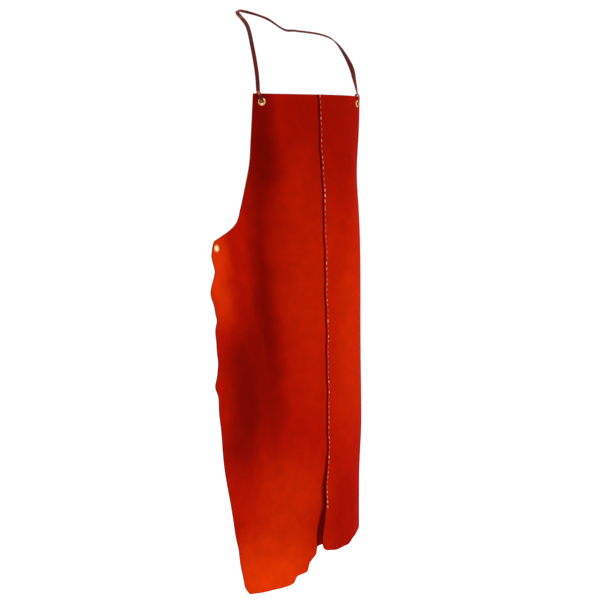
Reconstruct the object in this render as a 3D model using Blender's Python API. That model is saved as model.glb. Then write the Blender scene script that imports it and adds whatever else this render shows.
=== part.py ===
"""Leather bib apron: two lapped leather panels, brass eyelets, a seam thread and a leather neck strap.

Metres, +Z up, the apron's front faces -Y. The origin is where the neck strap rests on the neck.
Each leather panel is one piece of hide; it is divided at its fold lines, where it hinges.
"""
import math

import bmesh
import bpy
import numpy as np
from mathutils import Matrix, Vector

# Leather
THICKNESS = 0.0020
GAP = 0.0003
FOLD_GAP = 0.0030
LENGTH = 1.067
BIB_HALF = 0.160
SKIRT_HALF = 0.320
WAIST_FOLD = 0.218
FOLD_DROP = 0.245
FOLD_SIDE = 0.208
TAPER = 0.055
TAPER_START = 0.65
UNDERLAP = 0.010
SEAM_START = 0.004
BIB_ROWS = 12
SKIRT_ROWS = 32
SEAM_ROWS = 29
SEAM_INSET = 0.003
THREAD_WIDTH = 0.0010
THREAD_THICK = 0.0006

# Armhole: a flare all down the bib, a curve that starts part way, then the sweep out to the waist corner
BIB_FLARE = 0.0571
BIB_CURVE = 2.57
BIB_CURVE_START = 0.130
ARM_TURN = 0.028
ARM_TURN_REACH = 0.0145
ARM_SLOPE = 0.27
WAIST_CORNER = 0.009
WAIST_CORNER_DROP = 0.012

# Hem: rounded at the outer corners and either side of the slit
CORNER_START = 0.235
CORNER_REACH = 0.032
CORNER_RISE = 0.030
SLIT_REACH = 0.060
SLIT_RISE = 0.028
RIGHT_DIP = 0.022
RIGHT_DIP_SIDE = -0.130
RIGHT_DIP_REACH = 0.070

# Plan curves: radii and headings of the bib's top, the waist and the hem
BIB_RADIUS_LEFT = 0.252
BIB_RADIUS_RIGHT = 0.600
WAIST_RADIUS_LEFT = 0.131
WAIST_RADIUS_RIGHT = 0.276
HEM_RADIUS_LEFT = 0.147
CURVE_END_LEFT = 0.200
CURVE_END_RIGHT = 0.155
BIB_TURN = math.radians(11.5)
VALLEY_TURN = math.radians(71)
VALLEY_END = 0.190
HEM_TURN = math.radians(24)
HEM_WING_TURN = math.radians(-5)
WAIST_FORWARD = 0.045
HEM_FORWARD = 0.030
HEM_ASIDE = 0.015

# Brass
EYELET_BORE = 0.0050
EYELET_BARREL = 0.0055
EYELET_FLANGE = 0.0082
EYELET_HOLE = 0.0058
FLANGE_THICK = 0.0008
FLANGE_ROUND = 0.0008
CLENCH_WIDTH = 0.0009
CLENCH_THICK = 0.0005
WASHER_RADIUS = 0.0087
WASHER_THICK = 0.0006
BIB_EYELET_IN = 0.019
BIB_EYELET_DOWN = 0.017
WAIST_EYELET_IN = 0.0125
WAIST_EYELET_DOWN = 0.317
EYELET_SIDES = 24
PUNCH_DEPTH = 0.020

# Neck strap, a flat leather lace
STRAP_WIDTH = 0.009
STRAP_THICK = 0.0025
STRAP_CLEAR = 0.0025
LACE_WIDTH = 0.0065
LACE_THICK = 0.0022
LACE_RISE = 0.0055
LACE_TILT = math.radians(20)
LACE_LOW = 0.0012
LACE_STAND_OFF = 0.0024
LACE_TURN = 0.004
LACE_STEPS = 8
STRAP_STEPS = 48
STRAP_CENTRE = Vector((0.073, -0.141, -0.302))

# The bib's top edge hangs in front of and below the neck
BIB_ASIDE = 0.073
BIB_AHEAD = 0.271
BIB_BELOW = 0.202

PATH_STEPS = 800
PLAN_REACH = 0.34
NORMAL_STEP = 0.002


def srgb(code):
    """Linear colour of an sRGB hex code."""
    parts = [int(code[i:i + 2], 16) / 255 for i in (0, 2, 4)]
    return [p / 12.92 if p <= 0.04045 else ((p + 0.055) / 1.055) ** 2.4 for p in parts] + [1.0]


def material(name, code, roughness, metallic=0.0):
    mat = bpy.data.materials.new(name)
    mat.use_nodes = True
    shader = mat.node_tree.nodes["Principled BSDF"]
    shader.inputs["Base Color"].default_value = srgb(code)
    shader.inputs["Roughness"].default_value = roughness
    shader.inputs["Metallic"].default_value = metallic
    return mat


def ease(a, b, x):
    t = np.clip((x - a) / (b - a), 0, 1)
    return t * t * (3 - 2 * t)


# The drape: s runs across the leather from the seam, t runs down it from the bib's top edge.
ACROSS = np.linspace(-PLAN_REACH, PLAN_REACH, PATH_STEPS + 1)


def plan_curve(heading, forward, aside=0.0):
    """Plan points of a strip of leather whose heading is known along its length."""
    step = np.diff(ACROSS)
    mean = (heading[1:] + heading[:-1]) / 2
    x = np.concatenate([[0], np.cumsum(np.cos(mean) * step)])
    y = np.concatenate([[0], np.cumsum(np.sin(mean) * step)])
    middle = PATH_STEPS // 2
    return np.stack([x - x[middle] + aside, y - y[middle] - forward])


def plan_curves():
    left, right = np.clip(ACROSS, 0, CURVE_END_LEFT), np.clip(ACROSS, -CURVE_END_RIGHT, 0)
    top = BIB_TURN + left / BIB_RADIUS_LEFT + right / BIB_RADIUS_RIGHT
    waist = left / WAIST_RADIUS_LEFT + right / WAIST_RADIUS_RIGHT
    waist = waist + VALLEY_TURN * ease(-0.150, -VALLEY_END, ACROSS)
    hem = left / HEM_RADIUS_LEFT + HEM_TURN * ease(0.06, -0.03, ACROSS)
    hem = hem + HEM_WING_TURN * ease(-0.13, -0.20, ACROSS)
    return plan_curve(top, 0), plan_curve(waist, WAIST_FORWARD), plan_curve(hem, HEM_FORWARD, HEM_ASIDE)


TOP_CURVE, WAIST_CURVE, HEM_CURVE = plan_curves()


def drape(s, t):
    """Point of the drape. Below the waist every line of equal s is straight."""
    rows = [np.array([np.interp(s, ACROSS, c[0]), np.interp(s, ACROSS, c[1])])
            for c in (TOP_CURVE, WAIST_CURVE, HEM_CURVE)]
    upper = min(max(t / FOLD_DROP, 0), 1)
    lower = max((t - FOLD_DROP) / (LENGTH - FOLD_DROP), 0)
    x, y = rows[0] + (rows[1] - rows[0]) * upper + (rows[2] - rows[1]) * lower
    return Vector((float(x) + BIB_ASIDE, float(y) - BIB_AHEAD, -t - BIB_BELOW))


def facing(s, t):
    """Unit normal of the drape, out of its front."""
    along = drape(s + NORMAL_STEP, t) - drape(s - NORMAL_STEP, t)
    down = drape(s, t + NORMAL_STEP) - drape(s, t - NORMAL_STEP)
    return down.cross(along).normalized()


def front(s, t, offset):
    return drape(s, t) + facing(s, t) * offset


def bib_half(t):
    """Half width down the armholes, to where the side folds start."""
    return BIB_HALF + BIB_FLARE * t + BIB_CURVE * max(t - BIB_CURVE_START, 0) ** 2


def side_half(t):
    """Half width of the skirt, which narrows a little towards the hem."""
    return SKIRT_HALF - TAPER * (max(t - TAPER_START, 0) / (LENGTH - TAPER_START)) ** 1.5


def armhole_drop(s):
    """Top edge of a wing: the armhole's sweep, then a rounded waist corner."""
    across = max(s - FOLD_SIDE, 0)
    sweep = FOLD_DROP + ARM_TURN * (1 - math.exp(-across / ARM_TURN_REACH)) + ARM_SLOPE * across
    return sweep + WAIST_CORNER_DROP * max((s - SKIRT_HALF) / WAIST_CORNER + 1, 0) ** 2


def hem_drop(s):
    """Bottom edge: rounded at the slit and the outer corner, and longest in the right panel's middle."""
    corner = CORNER_RISE * max((abs(s) - CORNER_START) / CORNER_REACH, 0) ** 2.5
    slit = SLIT_RISE * max(1 - abs(s) / SLIT_REACH, 0) ** 2
    dip = RIGHT_DIP * math.exp(-((s - RIGHT_DIP_SIDE) / RIGHT_DIP_REACH) ** 2)
    return LENGTH - min(corner, CORNER_RISE) - slit + dip


def add_object(name, mesh, mat):
    obj = bpy.data.objects.new(name, mesh)
    mesh.materials.append(mat)
    bpy.context.scene.collection.objects.link(obj)
    return obj


def sheet_solid(name, mat, columns, rows, place, middle):
    """Closed slab of leather. place(u, v) gives (s, t); middle is its mid-plane's offset."""
    bm = bmesh.new()
    faces = []
    for offset in (middle + THICKNESS / 2, middle - THICKNESS / 2):
        grid = [[bm.verts.new(front(*place(i / columns, j / rows), offset))
                 for i in range(columns + 1)] for j in range(rows + 1)]
        faces.append(grid)
    for side, grid in enumerate(faces):
        for j in range(rows):
            for i in range(columns):
                loop = [grid[j][i], grid[j + 1][i], grid[j + 1][i + 1], grid[j][i + 1]]
                bm.faces.new(loop if side == 0 else loop[::-1])
    rim = [(0, i) for i in range(columns)] + [(j, columns) for j in range(rows)]
    rim += [(rows, columns - i) for i in range(columns)] + [(rows - j, 0) for j in range(rows)]
    for k, (j, i) in enumerate(rim):
        j2, i2 = rim[(k + 1) % len(rim)]
        bm.faces.new([faces[0][j][i], faces[0][j2][i2], faces[1][j2][i2], faces[1][j][i]])
    bmesh.ops.recalc_face_normals(bm, faces=bm.faces)
    mesh = bpy.data.meshes.new(name)
    bm.to_mesh(mesh)
    bm.free()
    return add_object(name, mesh, mat)


def mix(a, b, f):
    return a + (b - a) * f


def bib_panel(name, mat, sign, inner, middle):
    def place(u, v):
        t = mix(0, WAIST_FOLD - FOLD_GAP / 2, v)
        return sign * mix(inner, bib_half(t), u), t
    return sheet_solid(name, mat, 12, BIB_ROWS, place, middle)


def skirt_panel(name, mat, sign, inner, middle):
    outer = FOLD_SIDE - FOLD_GAP / 2

    def place(u, v):
        t = mix(WAIST_FOLD + FOLD_GAP / 2, hem_drop(sign * mix(inner, outer, u)), v)
        return sign * mix(inner, min(bib_half(t), outer), u), t
    return sheet_solid(name, mat, 12, SKIRT_ROWS, place, middle)


def wing_panel(name, mat, sign, middle):
    def place(u, v):
        inner = FOLD_SIDE + FOLD_GAP / 2
        top = armhole_drop(mix(inner, SKIRT_HALF, u))
        bottom = hem_drop(sign * mix(inner, side_half(LENGTH), u))
        t = mix(top, bottom, v)
        return sign * mix(inner, side_half(t), u), t
    return sheet_solid(name, mat, 12, 14, place, middle)


def frame_at(s, t, offset):
    """Matrix whose Z is the leather's front normal, at a point on its mid-plane."""
    normal = facing(s, t)
    side = Vector((0, 0, 1)).cross(normal).normalized()
    turn = Matrix((side, normal.cross(side), normal)).transposed()
    return Matrix.Translation(front(s, t, offset)) @ turn.to_4x4()


def ring(name, profile, matrix, mat, sides=EYELET_SIDES):
    """Turned ring: profile is a closed list of (radius, height)."""
    bm = bmesh.new()
    loops = []
    for k in range(sides):
        angle = 2 * math.pi * k / sides
        loops.append([bm.verts.new((r * math.cos(angle), r * math.sin(angle), z)) for r, z in profile])
    for k in range(sides):
        here, following = loops[k], loops[(k + 1) % sides]
        for i in range(len(profile)):
            n = (i + 1) % len(profile)
            bm.faces.new([here[i], following[i], following[n], here[n]])
    bmesh.ops.recalc_face_normals(bm, faces=bm.faces)
    bmesh.ops.transform(bm, matrix=matrix, verts=bm.verts)
    mesh = bpy.data.meshes.new(name)
    bm.to_mesh(mesh)
    bm.free()
    mesh.shade_smooth()
    mesh.set_sharp_from_angle(angle=math.radians(35))
    return add_object(name, mesh, mat)


def punch(panel, matrix):
    """Cut the eyelet's hole through a panel."""
    bm = bmesh.new()
    bmesh.ops.create_cone(bm, cap_ends=True, segments=EYELET_SIDES, radius1=EYELET_HOLE,
                          radius2=EYELET_HOLE, depth=PUNCH_DEPTH, matrix=matrix)
    mesh = bpy.data.meshes.new("punch")
    bm.to_mesh(mesh)
    bm.free()
    cutter = bpy.data.objects.new(panel.name + "_punch", mesh)
    bpy.context.scene.collection.objects.link(cutter)
    cutter.hide_render = True
    cutter.display_type = "WIRE"
    cut = panel.modifiers.new("eyelet_hole", "BOOLEAN")
    cut.operation = "DIFFERENCE"
    cut.object = cutter
    return cutter


def eyelet(name, panel, s, t, middle, mat):
    """Brass eyelet and its back washer through a panel."""
    matrix = frame_at(s, t, middle)
    face = THICKNESS / 2 + GAP
    back = -face - WASHER_THICK - GAP
    lip = EYELET_BARREL + CLENCH_WIDTH
    top = face + FLANGE_THICK
    profile = [(EYELET_BORE, face + FLANGE_THICK / 2), (EYELET_BORE + FLANGE_ROUND, top),
               (EYELET_FLANGE - FLANGE_ROUND, top), (EYELET_FLANGE, face + FLANGE_THICK / 2),
               (EYELET_FLANGE, face), (EYELET_BARREL, face), (EYELET_BARREL, back), (lip, back),
               (lip, back - CLENCH_THICK), (EYELET_BORE, back - CLENCH_THICK)]
    brass = ring(name + "_eyelet", profile, matrix, mat)
    washer = [(EYELET_BARREL + GAP, -face), (WASHER_RADIUS, -face),
              (WASHER_RADIUS, -face - WASHER_THICK), (EYELET_BARREL + GAP, -face - WASHER_THICK)]
    back_ring = ring(name + "_washer", washer, matrix, mat)
    return [brass, back_ring, punch(panel, matrix)]


def ribbon(name, points, sides, width, thick, mat):
    """Flat lace along points; sides are the unit vectors across it."""
    bm = bmesh.new()
    loops = []
    for k, point in enumerate(points):
        before, after = points[max(k - 1, 0)], points[min(k + 1, len(points) - 1)]
        across = sides[k].normalized() * width / 2
        up = (after - before).cross(sides[k]).normalized() * thick / 2
        corners = (across + up, -across + up, -across - up, across - up)
        loops.append([bm.verts.new(point + corner) for corner in corners])
    for a, b in zip(loops, loops[1:]):
        for i in range(4):
            bm.faces.new([a[i], a[(i + 1) % 4], b[(i + 1) % 4], b[i]])
    bm.faces.new(loops[0])
    bm.faces.new(loops[-1])
    bmesh.ops.recalc_face_normals(bm, faces=bm.faces)
    mesh = bpy.data.meshes.new(name)
    bm.to_mesh(mesh)
    bm.free()
    return add_object(name, mesh, mat)


def smooth_path(controls, steps):
    """Points on a smooth curve through the controls."""
    points = []
    last = len(controls) - 1
    for k in range(steps + 1):
        f = k / steps * last
        i = min(int(f), last - 1)
        f -= i
        a, b = controls[max(i - 1, 0)], controls[i]
        c, d = controls[i + 1], controls[min(i + 2, last)]
        points.append(0.5 * (2 * b + (c - a) * f + (2 * a - 5 * b + 4 * c - d) * f ** 2
                             + (3 * b - a - 3 * c + d) * f ** 3))
    return points


def lace_frame(s, middle):
    """Frame of a bib eyelet, tilted towards its corner of the bib."""
    return frame_at(s, BIB_EYELET_DOWN, middle) @ Matrix.Rotation(-math.copysign(LACE_TILT, s), 4, "Z")


def strap_end(s, middle):
    """Where the neck strap ends, just above a lace loop."""
    top = lace_frame(s, middle) @ Vector((0, BIB_EYELET_DOWN + LACE_RISE, 0))
    return top + Vector((0, 0, LACE_THICK / 2 + STRAP_CLEAR))


def lace_loop(name, s, middle, mat):
    """Lace through a bib eyelet and over the top edge, closed on itself."""
    frame = lace_frame(s, middle)
    out = THICKNESS / 2 + LACE_THICK / 2 + LACE_STAND_OFF
    rise = BIB_EYELET_DOWN + LACE_RISE
    low, high = LACE_TURN - LACE_LOW, rise - LACE_TURN
    route = [(0, -LACE_LOW), (-out, low), (-out, high), (0, rise), (out, high), (out, low)]
    around = [Vector((0, y, -x)) for x, y in [route[-1]] + route + route[:2]]
    path = smooth_path(around, LACE_STEPS * (len(around) - 1))[LACE_STEPS:-LACE_STEPS]
    bm = bmesh.new()
    loops = []
    count = len(path)
    for k, point in enumerate(path):
        along = path[(k + 1) % count] - path[k - 1]
        across = Vector((1, 0, 0)) * LACE_WIDTH / 2
        up = along.cross(across).normalized() * LACE_THICK / 2
        loops.append([bm.verts.new(frame @ (point + v))
                      for v in (across + up, -across + up, -across - up, across - up)])
    for k in range(count):
        a, b = loops[k], loops[(k + 1) % count]
        for i in range(4):
            bm.faces.new([a[i], a[(i + 1) % 4], b[(i + 1) % 4], b[i]])
    bmesh.ops.recalc_face_normals(bm, faces=bm.faces)
    mesh = bpy.data.meshes.new(name)
    bm.to_mesh(mesh)
    bm.free()
    return add_object(name, mesh, mat)


def seam_thread(name, start, end, count, middle, mat):
    rows = [mix(start, end, k / count) for k in range(count + 1)]
    height = middle + THICKNESS / 2 + GAP + THREAD_THICK / 2
    points = [front(SEAM_INSET, t, height) for t in rows]
    sides = [drape(SEAM_INSET + NORMAL_STEP, t) - drape(SEAM_INSET - NORMAL_STEP, t) for t in rows]
    return ribbon(name, points, sides, THREAD_WIDTH, THREAD_THICK, mat)


def world_place(obj):
    return obj.location + world_place(obj.parent) if obj else Vector()


def pivot(name, place, parent, pieces):
    """Empty on a joint's axis, which carries the pieces that swing on it."""
    empty = bpy.data.objects.new(name, None)
    bpy.context.scene.collection.objects.link(empty)
    empty.parent = parent
    empty.location = place - world_place(parent)
    for piece in pieces:
        piece.parent = empty
        piece.location = -place
    return empty


def main():
    for obj in list(bpy.data.objects):
        bpy.data.objects.remove(obj, do_unlink=True)
    leather = material("rust split leather", "A81400", 0.8)
    lace = material("dark leather lace", "6E0C02", 0.7)
    brass = material("brass", "D9A441", 0.3, 1.0)
    cotton = material("cotton thread", "FFC0AC", 0.8)
    top_layer, under_layer = THICKNESS + GAP, 0.0
    right_bib = bib_panel("right_bib", leather, -1, -UNDERLAP, under_layer)
    left_bib = bib_panel("left_bib", leather, 1, 0.0, top_layer)
    skirt = [skirt_panel("right_skirt", leather, -1, -UNDERLAP, under_layer),
             skirt_panel("left_skirt", leather, 1, 0.0, top_layer)]
    right_wing = wing_panel("right_wing", leather, -1, under_layer)
    left_wing = wing_panel("left_wing", leather, 1, top_layer)
    bib_s, waist_s = BIB_HALF - BIB_EYELET_IN, SKIRT_HALF - WAIST_EYELET_IN
    bib = [right_bib, left_bib]
    bib += eyelet("right_bib", right_bib, -bib_s, BIB_EYELET_DOWN, under_layer, brass)
    bib += eyelet("left_bib", left_bib, bib_s, BIB_EYELET_DOWN, top_layer, brass)
    right_side = eyelet("right_waist", right_wing, -waist_s, WAIST_EYELET_DOWN, under_layer, brass)
    left_side = eyelet("left_waist", left_wing, waist_s, WAIST_EYELET_DOWN, top_layer, brass)
    bib_end, skirt_start = WAIST_FOLD - FOLD_GAP / 2, WAIST_FOLD + FOLD_GAP / 2
    seam_end = mix(skirt_start, hem_drop(SEAM_INSET), SEAM_ROWS / SKIRT_ROWS)
    bib.append(seam_thread("bib_seam_thread", SEAM_START, bib_end, BIB_ROWS, top_layer, cotton))
    skirt.append(seam_thread("skirt_seam_thread", skirt_start, seam_end, SEAM_ROWS, top_layer, cotton))
    bib.append(lace_loop("right_lace_loop", -bib_s, under_layer, lace))
    bib.append(lace_loop("left_lace_loop", bib_s, top_layer, lace))
    start, end = strap_end(-bib_s, under_layer), strap_end(bib_s, top_layer)
    route = [start, start + Vector((0.002, 0.013, 0.040)), start + Vector((0.008, 0.055, 0.098)),
             start + Vector((0.023, 0.125, 0.147)), start + Vector((0.030, 0.208, 0.185)),
             Vector((0, 0, 0)), Vector((0.051, -0.013, -0.015)), Vector((0.086, -0.040, -0.042)),
             Vector((0.110, -0.059, -0.046)), Vector((0.154, -0.110, -0.058)),
             end + Vector((-0.017, 0.076, 0.119)),
             end + Vector((-0.005, 0.029, 0.068)), end + Vector((-0.002, 0.010, 0.029)), end]
    path = smooth_path(route, STRAP_STEPS)
    across = []
    for k, point in enumerate(path):
        along = path[min(k + 1, STRAP_STEPS)] - path[max(k - 1, 0)]
        across.append(along.cross(point - STRAP_CENTRE))
    strap = ribbon("neck_strap", path, across, STRAP_WIDTH, STRAP_THICK, lace)
    neck = pivot("neck", Vector(), None, [strap])
    swing = pivot("strap_swing", (start + end) / 2, neck, bib)
    waist = pivot("waist_fold", front(0, WAIST_FOLD, top_layer), swing, skirt)
    right_fold = front(-FOLD_SIDE, FOLD_DROP, under_layer)
    left_fold = front(FOLD_SIDE, FOLD_DROP, top_layer)
    pivot("right_side_fold", right_fold, waist, [right_wing] + right_side)
    pivot("left_side_fold", left_fold, waist, [left_wing] + left_side)


main()
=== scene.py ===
import math

import bmesh
import bpy
import numpy as np
from mathutils import Matrix, Vector


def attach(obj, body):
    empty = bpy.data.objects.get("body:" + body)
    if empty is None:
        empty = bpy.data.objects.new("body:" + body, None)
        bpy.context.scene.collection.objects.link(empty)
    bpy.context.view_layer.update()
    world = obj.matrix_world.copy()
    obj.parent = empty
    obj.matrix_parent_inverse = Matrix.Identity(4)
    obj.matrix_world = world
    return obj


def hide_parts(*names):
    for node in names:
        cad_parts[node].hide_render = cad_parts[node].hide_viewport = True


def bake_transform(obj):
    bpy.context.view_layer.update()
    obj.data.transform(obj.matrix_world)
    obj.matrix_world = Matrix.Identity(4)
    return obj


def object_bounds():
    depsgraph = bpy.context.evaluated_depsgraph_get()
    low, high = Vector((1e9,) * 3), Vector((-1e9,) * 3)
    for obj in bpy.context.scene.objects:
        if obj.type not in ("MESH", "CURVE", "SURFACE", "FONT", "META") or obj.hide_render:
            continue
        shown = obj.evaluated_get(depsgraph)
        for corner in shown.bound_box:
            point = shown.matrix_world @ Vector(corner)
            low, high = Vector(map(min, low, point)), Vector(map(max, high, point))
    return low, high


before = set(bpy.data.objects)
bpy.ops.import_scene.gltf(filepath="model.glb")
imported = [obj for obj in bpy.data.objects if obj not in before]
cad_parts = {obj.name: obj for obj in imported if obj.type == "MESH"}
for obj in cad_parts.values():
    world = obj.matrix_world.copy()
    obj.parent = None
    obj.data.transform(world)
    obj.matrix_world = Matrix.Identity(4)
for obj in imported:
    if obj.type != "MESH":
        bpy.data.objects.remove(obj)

bl_info = {
    "name": "Leather Bib Apron",
    "version": (1, 0, 0),
    "blender": (4, 5, 0),
    "location": "View3D > Sidebar > Apron",
    "description": "Builds a split-leather bib apron with brass eyelets and a leather neck strap",
    "category": "Object",
}

MM = 0.001
CAD_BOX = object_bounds()

# The leather's cut, in metres: across from the seam, and down from the bib's top edge
THICKNESS = 2.0 * MM
GAP = 0.3 * MM
TOP_LAYER = THICKNESS + GAP
LENGTH = 1.067
BIB_HALF = 0.160
SKIRT_HALF = 0.320
WAIST_FOLD = 0.218
FOLD_DROP = 0.245
FOLD_SIDE = 0.208
TAPER = 0.055
TAPER_START = 0.65
UNDERLAP = 0.010
EDGE_ROUND = 0.4 * MM
BIB_FLARE = 0.075
BIB_CURVE = 2.24
BIB_CURVE_START = 0.130
ARM_TURN = 0.028
ARM_TURN_REACH = 0.0145
ARM_SLOPE = 0.27

# The stitched seam, and the slit below it where the panels part
SEAM_START = 0.004
SEAM_END = 0.945
SEAM_INSET = 0.003
STITCH_RISE = 0.10 * MM
STITCH_SHARE = 0.62
SLIT_START = 0.932
SLIT_SHIFT = 0.019
SLIT_CORNER = 0.018
# Widths of the painted shadow beside the top panel's edge and down in the slit
SEAM_SHADOW_WIDTH = 0.0034
SLIT_SHADOW_WIDTH = 0.0165

# Where the bib's top edge meets the seam, below and ahead of the strap's highest point
BIB_BELOW = 0.202
ORIGIN = np.array((0.073, -0.271, -BIB_BELOW))

# How far each fold spreads over the leather
WAIST_SPREAD = 0.025
BIB_END = WAIST_FOLD + WAIST_SPREAD
SKIRT_EDGE = FOLD_SIDE

# Eyelets: radii, heights, and where they sit (from the seam, from the bib's top)
EYELET_BORE = 5.0 * MM
EYELET_BARREL = 5.5 * MM
EYELET_FLANGE = 8.2 * MM
EYELET_HOLE = 5.8 * MM
EYELET_LIP = 1.5 * MM
EYELET_HEIGHT = 0.9 * MM
WASHER_THICK = 0.5 * MM
BIB_EYELET = (BIB_HALF - 0.019, 0.017)
WAIST_EYELET = (SKIRT_HALF - 0.0125, 0.317)

# The lace: its ends loop through the bib eyelets, and the strap starts at their tops
LACE_RISE = 5.5 * MM
LACE_TILT = math.radians(20)
LACE_THICK = 2.2 * MM
LACE_END_WIDTH = 7.2 * MM
LACE_OUT = 2.4 * MM
LACE_LOW = -2.2 * MM
LACE_BEND = 4.0 * MM
LACE_STEPS = 72
STRAP_THICK = 2.5 * MM
STRAP_LIFT = 1.3 * MM
STRAP_STEPS = 288
STRAP_CENTRE = Vector((ORIGIN[0], -0.141, -0.302))
STRAP_TURN = 0.86  # share of its length where the strap turns its flat side to the front


def linear(code):
    """Linear RGBA of an sRGB hex colour."""
    parts = [int(code[i:i + 2], 16) / 255 for i in (0, 2, 4)]
    return [p / 12.92 if p <= 0.04045 else ((p + 0.055) / 1.055) ** 2.4 for p in parts] + [1.0]


# ---------------------------------------------------------------- drape

def ease(a, b, x):
    t = np.clip((x - a) / (b - a), 0, 1)
    return t * t * (3 - 2 * t)


def bump(x, centre, width):
    return np.exp(-((x - centre) / width) ** 2)


ACROSS = np.linspace(-0.34, 0.34, 801)


def plan_curve(heading, forward, aside=0.0):
    step = np.diff(ACROSS)
    mean = (heading[1:] + heading[:-1]) / 2
    x = np.concatenate([[0], np.cumsum(np.cos(mean) * step)])
    y = np.concatenate([[0], np.cumsum(np.sin(mean) * step)])
    middle = len(ACROSS) // 2
    return np.stack([x - x[middle] + aside, y - y[middle] - forward])


def plan_curves():
    """Plan of the bib's top, the waist and the hem, from the leather's heading along each."""
    left, right = np.clip(ACROSS, 0, 0.200), np.clip(ACROSS, -0.155, 0)
    top = math.radians(11.5) + left / 0.252 + right / 0.600
    waist = left / 0.131 + right / 0.276 + math.radians(71) * ease(-0.150, -0.190, ACROSS)
    hem = left / 0.147 + math.radians(24) * ease(0.06, -0.03, ACROSS)
    hem = hem - math.radians(5) * ease(-0.13, -0.20, ACROSS)
    return plan_curve(top, 0), plan_curve(waist, 0.045), plan_curve(hem, 0.030, 0.015)


CURVES = plan_curves()


def hang(s, t):
    """Points of the plain drape: s runs across from the seam, t down from the bib's top edge."""
    s, t = np.broadcast_arrays(np.asarray(s, float), np.asarray(t, float))
    rows = [np.stack([np.interp(s, ACROSS, c[0]), np.interp(s, ACROSS, c[1])], -1) for c in CURVES]
    upper = np.clip(t / FOLD_DROP, 0, 1)[..., None]
    lower = np.maximum((t - FOLD_DROP) / (LENGTH - FOLD_DROP), 0)[..., None]
    plan = rows[0] + (rows[1] - rows[0]) * upper + (rows[2] - rows[1]) * lower
    return np.concatenate([plan, -t[..., None]], -1) + ORIGIN


def ripple(s, t, sign):
    """How far a panel stands off the plain drape: the slow waves of a heavy hide, and the slit's curl."""
    low = ease(0.25, 0.55, t)
    wave = 2.2 * np.sin(9.0 * s + 5.2 * t + 0.6) * ease(0.05, 0.30, t)
    wave = wave + 1.8 * np.sin(21.0 * s - 6.5 * t + 1.9) * low
    wave = wave + 1.0 * np.sin(34.0 * s + 11.0 * t) * low * ease(0.05, 0.20, np.abs(s))
    wave = wave + 1.6 * np.sin(30.0 * t) * ease(0.22, 0.31, -s) * low
    wave = wave - 8.0 * ease(0.07, 0.13, s) * bump(t, 0.18, 0.11)
    wave = wave - 5.0 * ease(0.07, 0.13, s) * ease(0.76, 0.92, t)
    slit = ease(0.93, 1.01, t)
    if sign > 0:
        wave = wave + 7.0 * slit * bump(s, -0.015, 0.030)
    else:
        wave = wave - 5.0 * slit * ease(-0.050, -0.025, s)
    return wave * MM


def normals(s, t, place=hang):
    step = 0.002
    along = place(s + step, t) - place(s - step, t)
    down = place(s, t + step) - place(s, t - step)
    n = np.cross(down, along)
    return n / np.linalg.norm(n, axis=-1, keepdims=True)


def rippled(sign):
    """The waved surface of one panel, as a function of s and t."""
    return lambda s, t: hang(s, t) + normals(s, t) * ripple(s, t, sign)[..., None]


def front(s, t, offset, sign):
    """Points of a panel's mid-plane moved out of its front by offset."""
    return rippled(sign)(s, t) + normals(s, t, rippled(sign)) * offset


def bib_half(t):
    """Half width down the armholes, to where the side folds start."""
    return BIB_HALF + BIB_FLARE * t + BIB_CURVE * np.maximum(t - BIB_CURVE_START, 0) ** 2


# Waves of the right wing's raw edge: height in mm, where down the edge, and reach
RIGHT_EDGE_WAVES = ((4, 0.331, 0.012), (-6, 0.365, 0.014), (11, 0.408, 0.022), (-4, 0.466, 0.010),
                    (3, 0.490, 0.018), (-4, 0.555, 0.018), (9, 0.603, 0.016), (3, 0.660, 0.030),
                    (-2, 0.860, 0.090), (-3, 0.970, 0.025), (-1, 1.030, 0.030))


def side_half(t, sign):
    """Half width of the skirt, with the natural wave of a hide's edge."""
    cut = SKIRT_HALF - TAPER * (np.maximum(t - TAPER_START, 0) / (LENGTH - TAPER_START)) ** 1.5
    if sign > 0:
        return cut + (2.5 * np.sin(17.0 * t) + 1.6 * np.sin(41.0 * t + 1.0)) * MM
    return cut + sum(height * bump(t, place, reach) for height, place, reach in RIGHT_EDGE_WAVES) * MM


def armhole_drop(s):
    """Top edge of a wing: the armhole's sweep, then a rounded waist corner."""
    across = np.maximum(s - FOLD_SIDE, 0)
    sweep = FOLD_DROP + ARM_TURN * (1 - np.exp(-across / ARM_TURN_REACH)) + ARM_SLOPE * across
    return sweep + 0.012 * np.maximum((s - SKIRT_HALF) / 0.009 + 1, 0) ** 2


def hem_drop(s, sign):
    """Raw bottom edge; s runs outwards from the seam on either panel."""
    fine = (0.8 * np.sin(38.0 * s + 0.4) + 0.5 * np.sin(95.0 * s)) * MM
    if sign > 0:
        inwards = np.clip(SLIT_CORNER - (s - inner_edge(np.array(LENGTH), 1)), 0, SLIT_CORNER)
        rounded = SLIT_CORNER - np.sqrt(SLIT_CORNER ** 2 - inwards ** 2)
        corner = 0.030 * np.maximum((s - 0.235) / 0.032, 0) ** 2.5
        rounded = rounded + 0.009 * ease(0.030, -0.020, s)
        return 1.0600 - rounded - 0.010 * ease(0.060, 0.085, s) - np.minimum(corner, 0.030) + fine
    steps = 0.018 * ease(0.034, 0.041, s) + 0.010 * ease(0.041, 0.062, s)
    steps = steps + 0.022 * ease(0.060, 0.074, s) + 0.0125 * ease(0.104, 0.120, s)
    corner = np.minimum(0.030 * np.maximum((s - 0.250) / 0.018, 0) ** 2.2, 0.030)
    return 1.037 + steps - 0.17 * np.maximum(s - 0.130, 0) - corner + fine


def seam_line(t):
    """Where the top panel's sewn edge runs: hand cut, so it sways a little."""
    sway = 0.8 * np.sin(40.0 * t) + 0.5 * np.sin(97.0 * t) - 8.0 * ease(0.79, 0.91, t)
    return (-9.0 * bump(t, 0.25, 0.24) + sway) * MM


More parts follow.
